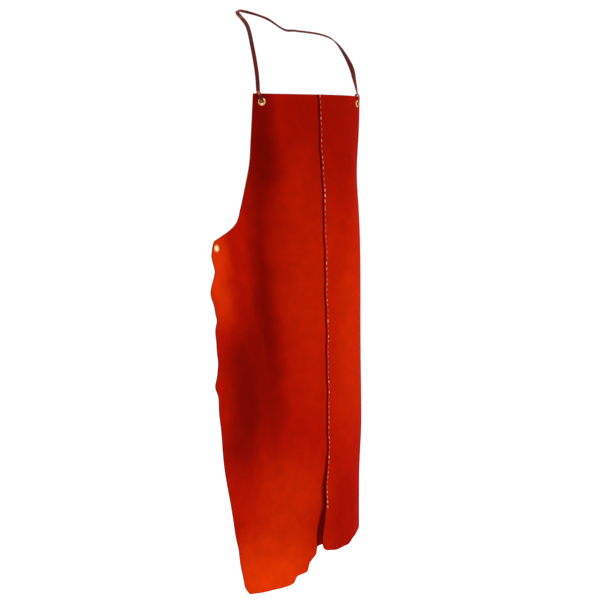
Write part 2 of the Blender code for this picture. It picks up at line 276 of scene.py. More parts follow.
def inner_edge(t, sign):
    """Where a panel's inner edge runs, outwards from the seam: the top one's swings across at the slit."""
    if sign > 0:
        return seam_line(t) - SLIT_SHIFT * ease(SLIT_START, SLIT_START + 0.08, t)
    return np.full_like(t, -UNDERLAP)


# ---------------------------------------------------------------- materials

class Nodes:
    """A material's node tree, with one way to add a node."""

    def __init__(self, name):
        self.material = bpy.data.materials.new(name)
        self.material.use_nodes = True
        self.tree = self.material.node_tree
        self.shader = self.tree.nodes["Principled BSDF"]

    def add(self, kind, inputs=None, **settings):
        """Adds a node; inputs hold values, or sockets to link from."""
        node = self.tree.nodes.new(kind)
        for key, value in settings.items():
            setattr(node, key, value)
        self.feed(node, inputs or {})
        return node

    def feed(self, node, inputs):
        for key, value in inputs.items():
            socket = node.inputs[key]
            if isinstance(value, bpy.types.NodeSocket):
                self.tree.links.new(value, socket)
            else:
                socket.default_value = value

    def ramp(self, fac, stops, interpolation="LINEAR"):
        node = self.add("ShaderNodeValToRGB", {"Fac": fac})
        ramp = node.color_ramp
        ramp.interpolation = interpolation
        while len(ramp.elements) < len(stops):
            ramp.elements.new(0.5)
        for element, (place, colour) in zip(ramp.elements, stops):
            element.position = place
            element.color = colour
        return node.outputs["Color"]


def grey(v):
    return (v, v, v, 1.0)


# Clouds of painted shade (dark) and painted light (pale) on the split: amount, centre across and down, reach
# across and down
PAINTED_SHADE_CLOUDS = ((0.85, -0.150, 0.10, 0.060, 0.26), (0.66, -0.160, 0.50, 0.050, 0.34),
               (0.80, -0.240, 0.64, 0.085, 0.20), (0.66, -0.205, 0.60, 0.085, 0.24),
               (0.42, 0.030, 0.05, 0.200, 0.19), (0.20, 0.050, 1.00, 0.100, 0.12))
PAINTED_LIGHT_CLOUDS = ((0.85, -0.305, 0.35, 0.055, 0.12), (0.42, 0.090, 0.52, 0.110, 0.34),
               (0.22, -0.030, 0.42, 0.110, 0.30), (0.35, -0.120, 0.92, 0.150, 0.14),
               (1.00, -0.180, 1.07, 0.170, 0.15))


def clouds(n, drape, patches):
    """Strength of a set of soft-edged clouds over the drape UV."""
    total = None
    for amount, across, down, reach, depth in patches:
        offset = n.add("ShaderNodeVectorMath", {0: drape, 1: (across, down, 0)}, operation="SUBTRACT")
        scaled = n.add("ShaderNodeVectorMath", {0: offset.outputs[0], 1: (reach, depth, 1)},
                       operation="DIVIDE")
        far = n.add("ShaderNodeVectorMath", {0: scaled.outputs[0]}, operation="LENGTH").outputs["Value"]
        fade = n.add("ShaderNodeMapRange", {
            "Value": far, "From Min": 1.25, "From Max": 0.15, "To Max": amount},
            interpolation_type="SMOOTHSTEP").outputs["Result"]
        if total is None:
            total = fade
        else:
            total = n.add("ShaderNodeMath", {0: total, 1: fade}, operation="MAXIMUM").outputs[0]
    return total


def suede_split(colours):
    """Chrome-tanned cowhide split, drum dyed rust red and buffed: a matt nap, with painted shade and painted
    light in soft clouds, and a painted shadow beside the seam and in the slit.
    """
    n = Nodes("rust_suede_split")
    drape = n.add("ShaderNodeUVMap", uv_map="drape").outputs["UV"]
    place = n.add("ShaderNodeTexCoord").outputs["Object"]
    seam = n.add("ShaderNodeUVMap", uv_map="seam").outputs["UV"]
    across, down = n.add("ShaderNodeSeparateXYZ", {"Vector": seam}).outputs[:2]
    drift = n.add("ShaderNodeTexNoise", {"Vector": place, "Scale": 7.0, "Detail": 3.0, "Roughness": 0.5})
    blotch = n.add("ShaderNodeTexNoise", {"Vector": place, "Scale": 38.0, "Detail": 4.0, "Roughness": 0.6})
    nap = n.add("ShaderNodeTexNoise", {"Vector": place, "Scale": 900.0, "Detail": 6.0, "Roughness": 0.7})
    stray = n.add("ShaderNodeVectorMath", {0: drift.outputs["Color"], 1: (0.5, 0.5, 0.5)},
                  operation="SUBTRACT")
    stray = n.add("ShaderNodeVectorMath", {0: stray.outputs[0], 1: (0.10, 0.22, 0.0)}, operation="MULTIPLY")
    drifted = n.add("ShaderNodeVectorMath", {0: drape, 1: stray.outputs[0]}, operation="ADD").outputs[0]
    deep, rust, pale = (linear(c) for c in (colours.leather_shade_and_edge_fibre, colours.leather, colours.leather_painted_light))
    # painted light and painted shade: the pale clouds lighten the base colour, the dark clouds darken it
    base = n.add("ShaderNodeMix", {0: clouds(n, drifted, PAINTED_LIGHT_CLOUDS), 6: rust, 7: pale}, data_type="RGBA")
    base = n.add("ShaderNodeMix", {0: clouds(n, drifted, PAINTED_SHADE_CLOUDS), 6: base.outputs[2], 7: deep},
                 data_type="RGBA").outputs[2]
    speck = n.ramp(blotch.outputs["Fac"], [(0.30, grey(0.91)), (0.70, grey(1.08))])
    base = n.add("ShaderNodeMix", {0: 1.0, 6: base, 7: speck}, data_type="RGBA",
                 blend_type="MULTIPLY").outputs[2]
    # Painted shadow on the under panel beside the top panel's edge, widening down into the slit
    widen = n.add("ShaderNodeMapRange", {
        "Value": down, "From Min": SLIT_START - 0.13, "From Max": SLIT_START - 0.03,
        "To Min": SEAM_SHADOW_WIDTH, "To Max": SLIT_SHADOW_WIDTH}).outputs["Result"]
    close = n.add("ShaderNodeMapRange", {
        "Value": down, "From Min": SLIT_START + 0.02, "From Max": SLIT_START + 0.10,
        "To Min": 1.0, "To Max": 0.65}).outputs["Result"]
    slit_shadow_reach = n.add("ShaderNodeMath", {0: widen, 1: close}, operation="MULTIPLY").outputs[0]
    inwards = n.add("ShaderNodeMath", {0: across, 1: -1.0}, operation="MULTIPLY").outputs[0]
    depth = n.add("ShaderNodeMath", {0: inwards, 1: slit_shadow_reach}, operation="DIVIDE").outputs[0]
    seam_shadow = n.ramp(depth, [(0.0, grey(1.0)), (0.60, grey(0.75)), (1.0, grey(0.0))])
    under = n.add("ShaderNodeMath", {0: across, 1: 0.0}, operation="LESS_THAN").outputs[0]
    seam_shadow = n.add("ShaderNodeMath", {0: seam_shadow, 1: under}, operation="MULTIPLY").outputs[0]
    base = n.add("ShaderNodeMix", {0: seam_shadow, 6: base, 7: linear(colours.seam_shadow)},
                 data_type="RGBA").outputs[2]
    rough = n.ramp(blotch.outputs["Fac"], [(0.3, grey(0.84)), (0.7, grey(0.95))])
    coarse = n.add("ShaderNodeBump", {"Height": blotch.outputs["Fac"], "Strength": 0.25,
                                      "Distance": 1.2 * MM})
    fine = n.add("ShaderNodeBump", {"Height": nap.outputs["Fac"], "Strength": 0.35, "Distance": 0.35 * MM,
                                    "Normal": coarse.outputs["Normal"]})
    n.feed(n.shader, {"Base Color": base, "Roughness": rough, "Normal": fine.outputs["Normal"],
                      "IOR": 1.45, "Specular IOR Level": 0.01})
    return n.material


def cut_edge(colours):
    """Knife-cut edge of the split, where the dye soaked in darker and the fibres show as fine layers."""
    n = Nodes("dyed_cut_edge")
    place = n.add("ShaderNodeTexCoord").outputs["Object"]
    fibre = n.add("ShaderNodeTexNoise", {"Vector": place, "Scale": 700.0, "Detail": 4.0})
    tone = n.ramp(fibre.outputs["Fac"], [(0.3, linear(colours.edge)), (0.7, linear(colours.leather_shade_and_edge_fibre))])
    lift = n.add("ShaderNodeBump", {"Height": fibre.outputs["Fac"], "Strength": 0.4, "Distance": 0.3 * MM})
    n.feed(n.shader, {"Base Color": tone, "Roughness": 0.85, "Normal": lift.outputs["Normal"], "IOR": 1.45,
                      "Specular IOR Level": 0.02})
    return n.material


def lace_leather(colours, name="oiled_latigo_lace", rub=0.66, under=None):
    """Oiled latigo lace, strap cut: dark maroon with a soft gloss, and olive-tan where it is rubbed."""
    n = Nodes(name)
    place = n.add("ShaderNodeTexCoord").outputs["Object"]
    wear = n.add("ShaderNodeTexNoise", {"Vector": place, "Scale": 28.0, "Detail": 3.0, "Roughness": 0.55})
    grain = n.add("ShaderNodeTexVoronoi", {"Vector": place, "Scale": 1400.0})
    rubbed = n.ramp(wear.outputs["Fac"], [(rub, grey(0.0)), (rub + 0.08, grey(0.75))])
    tone = n.ramp(wear.outputs["Fac"], [(0.35, linear(colours.lace)), (0.6, linear("640C02"))])
    tone = n.add("ShaderNodeMix", {0: rubbed, 6: tone, 7: linear(under or colours.lace_worn)},
                 data_type="RGBA").outputs[2]
    rough = n.ramp(wear.outputs["Fac"], [(0.4, grey(0.55)), (0.7, grey(0.75))])
    lift = n.add("ShaderNodeBump", {"Height": grain.outputs["Distance"], "Strength": 0.25,
                                    "Distance": 0.15 * MM})
    n.feed(n.shader, {"Base Color": tone, "Roughness": rough, "Normal": lift.outputs["Normal"], "IOR": 1.5,
                      "Specular IOR Level": 0.12})
    return n.material


def rubbed_lace(colours):
    """The same lace where knotting has bent it: the finish is cracked through to the orange-tan leather."""
    return lace_leather(colours, "rubbed_latigo_lace", 0.46, colours.lace_raw)


def stamped_brass(colours):
    """Rolled and stamped brass eyelet stock: bright yellow metal with an uneven, faint tarnish."""
    n = Nodes("stamped_brass")
    place = n.add("ShaderNodeTexCoord").outputs["Object"]
    stain_and_glint = n.add("ShaderNodeTexNoise", {"Vector": place, "Scale": 260.0, "Detail": 4.0})
    tone = n.ramp(stain_and_glint.outputs["Fac"], [(0.35, linear("C48A2C")), (0.6, linear(colours.brass))])
    rough = n.ramp(stain_and_glint.outputs["Fac"], [(0.35, grey(0.34)), (0.65, grey(0.18))])
    lift = n.add("ShaderNodeBump", {"Height": stain_and_glint.outputs["Fac"], "Strength": 0.08, "Distance": 0.1 * MM})
    n.feed(n.shader, {"Base Color": tone, "Roughness": rough, "Normal": lift.outputs["Normal"],
                      "Metallic": 1.0})
    return n.material


def twisted_cotton(colours):
    """Three-ply waxed cotton: slanting twist ridges, and pale stretches that stand as painted glints among
    dark red stretches.
    """
    n = Nodes("twisted_cotton_thread")
    place = n.add("ShaderNodeTexCoord").outputs["Object"]
    ply = n.add("ShaderNodeTexWave", {"Vector": place, "Scale": 300.0, "Distortion": 0.6},
                bands_direction="DIAGONAL")
    # painted highlights: noise picks pale stretches of thread as glints, the rest of the thread is dark red
    stain_and_glint = n.add("ShaderNodeTexNoise", {"Vector": place, "Scale": 55.0, "Detail": 2.0})
    stain_and_glint = n.ramp(stain_and_glint.outputs["Fac"], [(0.50, grey(1.0)), (0.66, grey(0.0))])
    pale = n.ramp(ply.outputs["Fac"], [(0.2, linear("E8806A")), (0.8, linear(colours.thread))])
    tone = n.add("ShaderNodeMix", {0: stain_and_glint, 6: pale, 7: linear(colours.thread_without_glint)},
                 data_type="RGBA").outputs[2]
    lift = n.add("ShaderNodeBump", {"Height": ply.outputs["Fac"], "Strength": 0.5, "Distance": 0.1 * MM})
    n.feed(n.shader, {"Base Color": tone, "Roughness": 0.6, "Normal": lift.outputs["Normal"], "IOR": 1.5})
    return n.material


def studio_paper():
    """Matt white background paper."""
    n = Nodes("white_background_paper")
    n.feed(n.shader, {"Base Color": linear("FDFDFD"), "Roughness": 0.95, "Specular IOR Level": 0.1})
    return n.material


MATERIALS = {}


def finish_material(name):
    """The material of that name, made once from the colours in the panel."""
    makers = {"leather": suede_split, "edge": cut_edge, "lace": lace_leather, "lace_end": rubbed_lace,
              "brass": stamped_brass, "thread": twisted_cotton}
    if name not in MATERIALS:
        MATERIALS[name] = makers[name](bpy.context.scene.apron_colours)
    return MATERIALS[name]


# ---------------------------------------------------------------- mesh helpers

def link_mesh(name, bm, mats, smooth_angle=40):
    mesh = bpy.data.meshes.new(name)
    bm.to_mesh(mesh)
    bm.free()
    for mat in mats:
        mesh.materials.append(mat)
    mesh.shade_smooth()
    mesh.set_sharp_from_angle(angle=math.radians(smooth_angle))
    obj = bpy.data.objects.new(name, mesh)
    bpy.context.scene.collection.objects.link(obj)
    return obj


def leather_piece(name, s, t, sign, holes=()):
    """Closed piece of hide over a grid of (s, t), with rounded cut edges, a drape UV and punched holes."""
    rows, columns = s.shape
    bm = bmesh.new()
    uv, seam_uv = bm.loops.layers.uv.new("drape"), bm.loops.layers.uv.new("seam")
    centre = front(s, t, layer_of(sign), sign)
    facing = normals(s, t, rippled(sign))
    skins = []
    for offset in (THICKNESS / 2, -THICKNESS / 2):
        points = centre + facing * offset
        skins.append([[bm.verts.new(points[j, i]) for i in range(columns)] for j in range(rows)])
    where = {skin[j][i]: (s[j, i], t[j, i]) for skin in skins for j in range(rows) for i in range(columns)}
    edge_line = inner_edge(t, 1)
    lap_edge = {skins[0][j][i]: edge_line[j, i] for j in range(rows) for i in range(columns)}
    for side, skin in enumerate(skins):
        for j in range(rows - 1):
            for i in range(columns - 1):
                loop = [skin[j][i], skin[j + 1][i], skin[j + 1][i + 1], skin[j][i + 1]]
                bm.faces.new(loop if side == 0 else loop[::-1])
    rim = [(0, i) for i in range(columns - 1)] + [(j, columns - 1) for j in range(rows - 1)]
    rim += [(rows - 1, columns - 1 - i) for i in range(columns - 1)]
    rim += [(rows - 1 - j, 0) for j in range(rows - 1)]
    inner = [(min(max(j, 1), rows - 2), min(max(i, 1), columns - 2)) for j, i in rim]
    middle = []
    for (j, i), (j2, i2) in zip(rim, inner):
        out = centre[j, i] - centre[j2, i2]
        vert = bm.verts.new(centre[j, i] + out / np.linalg.norm(out) * EDGE_ROUND)
        where[vert] = (s[j, i], t[j, i])
        middle.append(vert)
    edges = []
    for k, (j, i) in enumerate(rim):
        n = (k + 1) % len(rim)
        j2, i2 = rim[n]
        edges.append(bm.faces.new([skins[0][j][i], skins[0][j2][i2], middle[n], middle[k]]))
        edges.append(bm.faces.new([middle[k], middle[n], skins[1][j2][i2], skins[1][j][i]]))
    bmesh.ops.recalc_face_normals(bm, faces=bm.faces)
    for face in bm.faces:
        for loop in face.loops:
            loop[uv].uv = where[loop.vert]
            beside = loop[uv].uv.x - lap_edge[loop.vert] if loop.vert in lap_edge else 1.0
            loop[seam_uv].uv = (beside, loop[uv].uv.y)
    for face in edges:
        face.material_index = 1
    obj = link_mesh(name, bm, [finish_material("leather"), finish_material("edge")], 50)
    for k, matrix in enumerate(holes):
        punch_hole(obj, matrix, k)
    return obj


def punch_hole(obj, matrix, k):
    """Cuts the eyelet's hole and keeps the result as plain mesh."""
    bm = bmesh.new()
    bmesh.ops.create_cone(bm, cap_ends=True, segments=48, radius1=EYELET_HOLE, radius2=EYELET_HOLE,
                          depth=0.02, matrix=matrix)
    cutter = link_mesh(f"{obj.name}_punch_{k}", bm, [])
    cut = obj.modifiers.new("hole", "BOOLEAN")
    cut.operation = "DIFFERENCE"
    cut.object = cutter
    evaluated = obj.evaluated_get(bpy.context.evaluated_depsgraph_get())
    mesh = bpy.data.meshes.new_from_object(evaluated)
    obj.modifiers.clear()
    obj.data = mesh
    bpy.data.objects.remove(cutter, do_unlink=True)


def grid(s_of, t_of, columns, rows):
    """Arrays of s and t over a grid; both are given u across and v down."""
    u, v = np.meshgrid(np.linspace(0, 1, columns), np.linspace(0, 1, rows))
    return s_of(u, v), t_of(u, v)


def layer_of(sign):
    """Height of a panel's mid-plane: the left panel laps over the right one."""
    return TOP_LAYER if sign > 0 else 0.0


def frame_at(place, sign):
    """Matrix on a panel's mid-plane at (distance from the seam, drop): Z out of its front, Y up."""
    s, t = np.array(sign * place[0]), np.array(place[1])
    normal = Vector(normals(s, t, rippled(sign)))
    side = Vector((0, 0, 1)).cross(normal).normalized()
    turn = Matrix((side, normal.cross(side), normal)).transposed()
    return Matrix.Translation(front(s, t, layer_of(sign), sign)) @ turn.to_4x4()


def lace_frame(sign):
    """Frame of a bib eyelet, tilted towards its corner of the bib."""
    return frame_at(BIB_EYELET, sign) @ Matrix.Rotation(-sign * LACE_TILT, 4, "Z")


def turned(name, profile, matrix, mat, sides=64):
    bm = bmesh.new()
    loops = []
    for k in range(sides):
        a = 2 * math.pi * k / sides
        loops.append([bm.verts.new((r * math.cos(a), r * math.sin(a), z)) for r, z in profile])
    for k in range(sides):
        here, following = loops[k], loops[(k + 1) % sides]
        for i in range(len(profile)):
            n = (i + 1) % len(profile)
            bm.faces.new([here[i], following[i], following[n], here[n]])
    bmesh.ops.recalc_face_normals(bm, faces=bm.faces)
    bmesh.ops.transform(bm, matrix=matrix, verts=bm.verts)
    return link_mesh(name, bm, [mat])


def smooth_path(controls, steps, closed=False):
    """Points on a smooth curve through the controls."""
    points = []
    count = len(controls)
    last = count if closed else count - 1
    for k in range(steps + (0 if closed else 1)):
        f = k / steps * last
        i = min(int(f), last - 1)
        f -= i
        if closed:
            a, b, c, d = (controls[(i + n) % count] for n in (-1, 0, 1, 2))
        else:
            a, b = controls[max(i - 1, 0)], controls[i]
            c, d = controls[i + 1], controls[min(i + 2, last)]
        points.append(0.5 * (2 * b + (c - a) * f + (2 * a - 5 * b + 4 * c - d) * f ** 2
                             + (3 * b - a - 3 * c + d) * f ** 3))
    return points


def lace_section(width, thick):
    """Half outline points of a flat lace with rounded edges."""
    r = thick / 2 * 0.8
    points = []
    for sx, sy, start in ((1, 1, 0), (-1, 1, 90), (-1, -1, 180), (1, -1, 270)):
        for step in range(4):
            a = math.radians(start + 30 * step)
            points.append((sx * (width / 2 - r) + r * math.cos(a), sy * (thick / 2 - r) + r * math.sin(a)))
    return points


def lace_mesh(name, path, across, width, thick, mat, closed=False, belly=None):
    bm = bmesh.new()
    loops = []
    count = len(path)
    for k, point in enumerate(path):
        before = path[k - 1] if closed else path[max(k - 1, 0)]
        after = path[(k + 1) % count] if closed else path[min(k + 1, count - 1)]
        side = across[k].normalized()
        up = (after - before).cross(side).normalized()
        side = up.cross(after - before).normalized()
        swell = belly(k / (count - 1)) if belly else 1.0
        loops.append([bm.verts.new(point + side * x * swell + up * y) for x, y in lace_section(width, thick)])
    for k in range(count if closed else count - 1):
        a, b = loops[k], loops[(k + 1) % count]
        for i in range(len(a)):
            n = (i + 1) % len(a)
            bm.faces.new([a[i], a[n], b[n], b[i]])
    if not closed:
        bm.faces.new(loops[0])
        bm.faces.new(loops[-1])
    bmesh.ops.recalc_face_normals(bm, faces=bm.faces)
    return link_mesh(name, bm, [mat], 60)


# ---------------------------------------------------------------- leather panels

def bend_at_waist(piece):
    """Bakes a piece's placement into its mesh."""
    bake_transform(piece)


def place_panel(node):
    """Hides the model's part that a leather piece stands for."""
    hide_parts(node)


def make_bib(sign, word):
    def across(u, v):
        inner = inner_edge(BIB_END * v, sign)
        return sign * (inner + (bib_half(BIB_END * v) - inner) * u)

    s, t = grid(across, lambda u, v: BIB_END * v, 101, 61)
    piece = leather_piece(f"{word}_bib_leather", s, t, sign, [frame_at(BIB_EYELET, sign)])
    bend_at_waist(piece)
    place_panel(f"{word}_bib")


def make_skirt(sign, word):
    end = inner_edge(np.array(LENGTH), sign)

    def drop(u, v):
        return BIB_END + (hem_drop(end + (SKIRT_EDGE - end) * u, sign) - BIB_END) * v

    def across(u, v):
        inner = inner_edge(drop(u, v), sign)
        return sign * (inner + (SKIRT_EDGE - inner) * u)

    s, t = grid(across, drop, 101, 221)
    piece = leather_piece(f"{word}_skirt_leather", s, t, sign)
    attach(piece, "skirt")
    place_panel(f"{word}_skirt")


def make_wing(sign, word):
    def drop(u, v):
        start = armhole_drop(SKIRT_EDGE + (SKIRT_HALF - SKIRT_EDGE) * u)
        start = np.maximum(start - 0.002 * ease(0.10, 0.0, u), BIB_END)
        end = hem_drop(SKIRT_EDGE + (side_half(np.array(LENGTH), sign) - SKIRT_EDGE) * u, sign)
        return start + (end - start) * v

    def across(u, v):
        return sign * (SKIRT_EDGE + (side_half(drop(u, v), sign) - SKIRT_EDGE) * u)

    s, t = grid(across, drop, 61, 221)
    piece = leather_piece(f"{word}_wing_leather", s, t, sign, [frame_at(WAIST_EYELET, sign)])
    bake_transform(piece)
    place_panel(f"{word}_wing")


# ---------------------------------------------------------------- seam stitches

def stitch_nodes(mat):
    """Geometry Nodes tree: thread stitches set end to end along a line, each dipping in at its ends."""
    tree = bpy.data.node_groups.new("seam_stitches", "GeometryNodeTree")
    face = tree.interface
    face.new_socket("Geometry", in_out="INPUT", socket_type="NodeSocketGeometry")
    for name, value in (("Pitch", 0.006), ("Stitch Length", 0.0046), ("Thread Diameter", 0.001)):
        socket = face.new_socket(name, in_out="INPUT", socket_type="NodeSocketFloat")
        socket.default_value = value
    seed = face.new_socket("Seed", in_out="INPUT", socket_type="NodeSocketInt")
    seed.default_value = 7
    face.new_socket("Geometry", in_out="OUTPUT", socket_type="NodeSocketGeometry")

    def add(kind, inputs=None, **settings):
        node = tree.nodes.new(kind)
        for key, value in settings.items():
            setattr(node, key, value)
        for key, value in (inputs or {}).items():
            if isinstance(value, bpy.types.NodeSocket):
                tree.links.new(value, node.inputs[key])
            else:
                node.inputs[key].default_value = value
        return node

    given = add("NodeGroupInput").outputs
    points = add("GeometryNodeCurveToPoints", {"Curve": given["Geometry"], "Length": given["Pitch"]},
                 mode="LENGTH")
    body = add("GeometryNodeMeshUVSphere", {"Segments": 8, "Rings": 6, "Radius": 0.5}).outputs["Mesh"]
    size = add("ShaderNodeCombineXYZ", {"X": given["Thread Diameter"], "Y": given["Thread Diameter"],
                                        "Z": given["Stitch Length"]}).outputs[0]
    wobble = add("FunctionNodeRandomValue", {"Seed": given["Seed"], 0: (-0.10, -0.10, 0.0),
                                             1: (0.10, 0.10, 0.0)}, data_type="FLOAT_VECTOR").outputs[0]
    place = add("GeometryNodeInstanceOnPoints", {"Points": points.outputs["Points"], "Instance": body,
                                                 "Rotation": points.outputs["Rotation"], "Scale": size})
    turn = add("GeometryNodeRotateInstances", {"Instances": place.outputs["Instances"], "Rotation": wobble})
    real = add("GeometryNodeRealizeInstances", {"Geometry": turn.outputs[0]})
    smooth = add("GeometryNodeSetShadeSmooth", {"Geometry": real.outputs[0]})
    finish = add("GeometryNodeSetMaterial", {"Geometry": smooth.outputs[0], "Material": mat})
    add("NodeGroupOutput", {"Geometry": finish.outputs[0]})
    return tree


def stitch_row(name, start, end, sizes):
    """A row of stitches down the seam from start to end, as plain mesh."""
    rows = np.linspace(start, end, 400)
    line = bpy.data.curves.new(name + "_line", "CURVE")
    line.dimensions = "3D"
    spline = line.splines.new("POLY")
    spline.points.add(len(rows) - 1)
    height = TOP_LAYER + THICKNESS / 2 + STITCH_RISE
    for point, co in zip(spline.points, front(seam_line(rows) + SEAM_INSET, rows, height, 1)):
        point.co = (*co, 1.0)
    guide = bpy.data.objects.new(name + "_line", line)
    bpy.context.scene.collection.objects.link(guide)
    tree = stitch_nodes(finish_material("thread"))
    nodes = guide.modifiers.new("stitches", "NODES")
    nodes.node_group = tree
    wanted = {"Pitch": sizes.stitch_pitch, "Stitch Length": sizes.stitch_pitch * STITCH_SHARE,
              "Thread Diameter": sizes.thread, "Seed": 7}
    for item in tree.interface.items_tree:
        if item.name in wanted:
            nodes[item.identifier] = wanted[item.name]
    evaluated = guide.evaluated_get(bpy.context.evaluated_depsgraph_get())
    mesh = bpy.data.meshes.new_from_object(evaluated)
    bpy.data.objects.remove(guide, do_unlink=True)
    obj = bpy.data.objects.new(name, mesh)
    bpy.context.scene.collection.objects.link(obj)
    return obj


# ---------------------------------------------------------------- add-on classes

class ApronSizes(bpy.types.PropertyGroup):
    stitch_pitch: bpy.props.FloatProperty(
        name="Stitch pitch", description="Distance from one stitch of the seam to the next",
        default=0.0120, unit="LENGTH")
    thread: bpy.props.FloatProperty(
        name="Thread", description="Thickness of the seam thread", default=0.0017, unit="LENGTH")
    strap_width: bpy.props.FloatProperty(
        name="Strap width", description="Width of the neck strap's lace", default=0.009, unit="LENGTH")


class ApronColours(bpy.types.PropertyGroup):
    leather: bpy.props.StringProperty(
        name="Leather", description="Main dye colour, sRGB hex", default="960C00")
    # Colour of the painted shade clouds on the split; also the darker fibre tone of the cut edge
    leather_shade_and_edge_fibre: bpy.props.StringProperty(
        name="Deep leather", description="Dye in hollows and folds, sRGB hex", default="5A0300")
    # Colour of the painted light clouds on the split
    leather_painted_light: bpy.props.StringProperty(
        name="Warm leather", description="Dye where the nap is lightest, sRGB hex", default="C02A00")
    # Colour of the painted shadow beside the seam and in the slit
    seam_shadow: bpy.props.StringProperty(
        name="Crease", description="Dye pooled beside the seam and in the slit, sRGB hex", default="440200")
    edge: bpy.props.StringProperty(
        name="Cut edge", description="Colour of the cut edges, sRGB hex", default="4A0400")
    lace: bpy.props.StringProperty(
        name="Lace", description="Neck strap colour, sRGB hex", default="3C0501")
    lace_worn: bpy.props.StringProperty(
        name="Worn lace", description="Rubbed spots on the neck strap, sRGB hex", default="8A6A3A")
    lace_raw: bpy.props.StringProperty(
        name="Raw lace", description="Bare leather where the lace is knotted, sRGB hex", default="B0562A")
    brass: bpy.props.StringProperty(
        name="Brass", description="Eyelet colour, sRGB hex", default="F0CC78")
    thread: bpy.props.StringProperty(
        name="Thread", description="Seam thread colour, sRGB hex", default="FFC4B0")
    # Dark red of the stitches between the painted glints
    thread_without_glint: bpy.props.StringProperty(
        name="Dyed thread", description="Thread that took up the leather's dye, sRGB hex", default="BE3A28")


class APRON_OT_bib(bpy.types.Operator):
    """Make both bib panels"""
    bl_idname = "apron.bib"
    bl_label = "Bib"

    def execute(self, context):
        make_bib(-1, "right")
        make_bib(1, "left")
        return {"FINISHED"}


class APRON_OT_skirt(bpy.types.Operator):
    """Make the skirt's two centre panels"""
    bl_idname = "apron.skirt"
    bl_label = "Skirt"

    def execute(self, context):
        make_skirt(-1, "right")
        make_skirt(1, "left")
        return {"FINISHED"}


class APRON_OT_wings(bpy.types.Operator):
    """Make the skirt's two side wings"""
    bl_idname = "apron.wings"
    bl_label = "Side wings"

    def execute(self, context):
        make_wing(-1, "right")
        make_wing(1, "left")
        return {"FINISHED"}


class APRON_OT_stitches(bpy.types.Operator):
    """Sew the lapped seam down the middle"""
    bl_idname = "apron.stitches"
    bl_label = "Seam stitches"

    def execute(self, context):
        sizes = context.scene.apron_sizes
        upper = stitch_row("bib_stitches", SEAM_START, BIB_END, sizes)
        bend_at_waist(upper)
        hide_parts("bib_seam_thread")
        lower = stitch_row("skirt_stitches", BIB_END + SEAM_START, SEAM_END, sizes)
        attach(lower, "skirt")
        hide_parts("skirt_seam_thread")
        return {"FINISHED"}


def make_eyelet(word, body, sign, place):
    """One brass eyelet with its back washer, clenched through the leather."""
    matrix = frame_at(place, sign)
    face = THICKNESS / 2 + 0.05 * MM
    back = -face - 0.7 * MM
    angles = [math.radians(d) for d in range(0, 91, 15)]
    dome = [(EYELET_BORE + EYELET_LIP * (1 - math.cos(a)), face + EYELET_HEIGHT * math.sin(a))
            for a in angles]
    outer = [(EYELET_FLANGE - EYELET_HEIGHT * (1 - math.sin(a)), face + EYELET_HEIGHT * math.cos(a))
             for a in angles[1:]]
    profile = dome + outer + [(EYELET_FLANGE, face), (EYELET_BARREL, face), (EYELET_BARREL, back + 0.1 * MM),
                              (EYELET_BARREL + 1.0 * MM, back), (EYELET_BARREL + 0.8 * MM, back - 0.5 * MM),
                              (EYELET_BORE + 0.2 * MM, back - 0.5 * MM), (EYELET_BORE, back - 0.2 * MM)]
    eyelet = turned(word + "_brass_eyelet", profile, matrix, finish_material("brass"))
    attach(eyelet, body)
    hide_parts(word + "_eyelet")
    washer = [(EYELET_BARREL + 0.15 * MM, -face), (EYELET_FLANGE + 0.3 * MM, -face),
              (EYELET_FLANGE + 0.5 * MM, -face - WASHER_THICK / 2),
              (EYELET_FLANGE + 0.3 * MM, -face - WASHER_THICK),
              (EYELET_BARREL + 0.15 * MM, -face - WASHER_THICK - 0.1 * MM)]
    ring = turned(word + "_brass_washer", washer, matrix, finish_material("brass"))
    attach(ring, body)
    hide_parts(word + "_washer")


class APRON_OT_eyelets(bpy.types.Operator):
    """Set the four brass eyelets and their washers"""
    bl_idname = "apron.eyelets"
    bl_label = "Brass eyelets"

    def execute(self, context):
        for sign, word in ((-1, "right"), (1, "left")):
            make_eyelet(word + "_bib", "bib", sign, BIB_EYELET)
            make_eyelet(word + "_waist", word + "_side", sign, WAIST_EYELET)
        return {"FINISHED"}


class APRON_OT_lace_ends(bpy.types.Operator):
    """Loop the neck strap's lace ends through the bib eyelets"""
    bl_idname = "apron.lace_ends"
    bl_label = "Lace ends"

    def execute(self, context):
        out = (THICKNESS + LACE_THICK) / 2 + LACE_OUT
        rise = BIB_EYELET[1] + LACE_RISE
        route = [(0, LACE_LOW), (-out, LACE_LOW + LACE_BEND), (-out, rise - LACE_BEND), (0, rise),
                 (out, rise - LACE_BEND), (out, LACE_LOW + LACE_BEND)]
        for sign, word in ((-1, "right"), (1, "left")):
            matrix = lace_frame(sign)
            path = smooth_path([matrix @ Vector((0, y, -x)) for x, y in route], LACE_STEPS, closed=True)
            across = [matrix.to_3x3() @ Vector((1, 0, 0))] * len(path)
            loop = lace_mesh(f"{word}_lace_end", path, across, LACE_END_WIDTH, LACE_THICK,
                             finish_material("lace_end"), closed=True)
            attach(loop, "bib")
            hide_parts(f"{word}_lace_loop")
        return {"FINISHED"}


